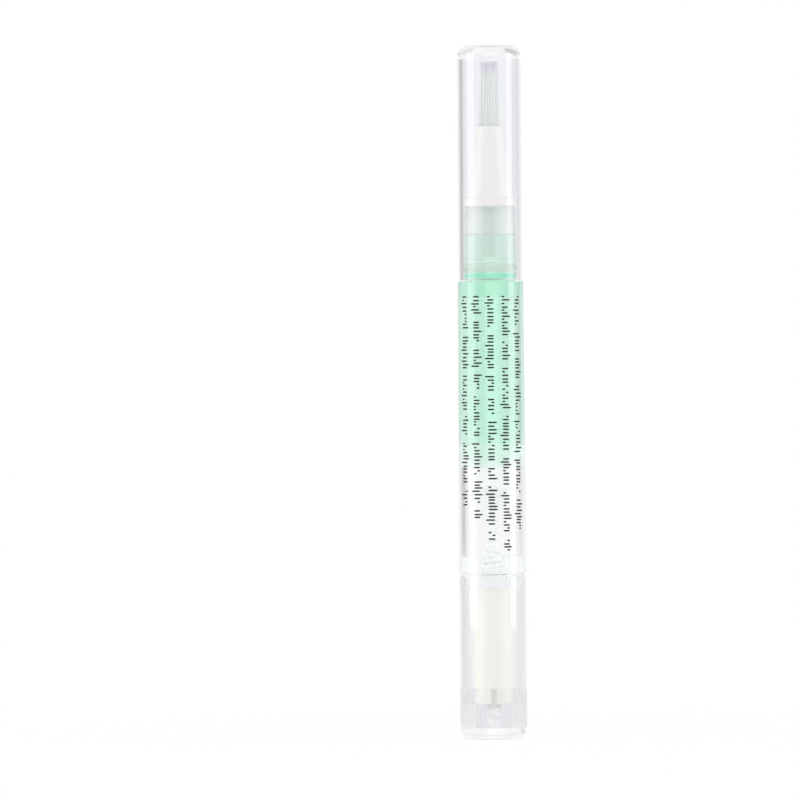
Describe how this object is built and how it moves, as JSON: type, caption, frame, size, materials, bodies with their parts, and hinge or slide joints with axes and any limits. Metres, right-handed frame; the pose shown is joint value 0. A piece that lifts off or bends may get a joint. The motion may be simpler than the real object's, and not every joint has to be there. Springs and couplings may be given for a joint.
{
  "type": "nail oil pen",
  "caption": "Clear twist pen that feeds nail oil to a brush. Turning the tail knob drives a screw and a piston up the barrel, and the cap pulls off the brush.",
  "frame": {"origin": "centre of the flat end of the tail, which the pen stands on", "axes": "+Z along the pen's axis from the tail to the cap, +X square to the flats of the lead screw"},
  "size_m": [0.0126, 0.0126, 0.13],
  "materials": {
    "cap_clear": "clear polished polystyrene",
    "barrel_clear": "clear polished plastic with rows of small dark marks",
    "collar_clear": "clear, slightly cloudy plastic",
    "seal": "translucent satin elastomer",
    "ferrule_white": "cream white satin plastic",
    "bristle_root": "melted nylon",
    "bristle": "fine translucent nylon bristles",
    "tube": "thin translucent tube",
    "oil": "clear green liquid",
    "piston": "translucent polyethylene",
    "screw": "translucent white plastic",
    "nut": "translucent plastic",
    "click_ring": "white acetal",
    "sleeve_white": "white satin plastic",
    "knob_clear": "clear polished plastic",
    "plug_clear": "clear polished plastic"
  },
  "bodies": {
    "barrel": {"barrel": "barrel_clear", "collar": "collar_clear", "cap_seal_ring": "seal", "brush_ferrule": "ferrule_white", "bristle_root": "bristle_root", "brush": "bristle", "feed_tube": "tube", "nut_insert": "nut", "oil": "oil"},
    "cap": {"cap": "cap_clear"},
    "knob": {"knob_shell": "knob_clear", "tail_plug": "plug_clear", "drive_sleeve": "sleeve_white", "click_ring": "click_ring"},
    "rod": {"lead_screw": "screw"},
    "piston": {"piston": "piston"}
  },
  "joints": [
    {"name": "cap_pull", "type": "slide", "parent": "barrel", "child": "cap", "axis": [0, 0, 1], "range_m": [0, 0.045]},
    {"name": "knob_turn", "type": "hinge", "parent": "barrel", "child": "knob", "pos_m": [0, 0, 0.03], "axis": [0, 0, 1], "range_deg": [0, 4500], "deforming": ["click_ring"]},
    {"name": "screw_advance", "type": "slide", "parent": "knob", "child": "rod", "axis": [0, 0, 1], "range_m": [0, 0.0251]},
    {"name": "piston_advance", "type": "slide", "parent": "barrel", "child": "piston", "axis": [0, 0, 1], "range_m": [0, 0.0251], "deforming": ["oil"]}
  ],
  "couplings": [
    {"joint": "screw_advance", "follows": "knob_turn", "m_per_rad": 0.00031831},
    {"joint": "piston_advance", "follows": "knob_turn", "m_per_rad": 0.00031831}
  ]
}
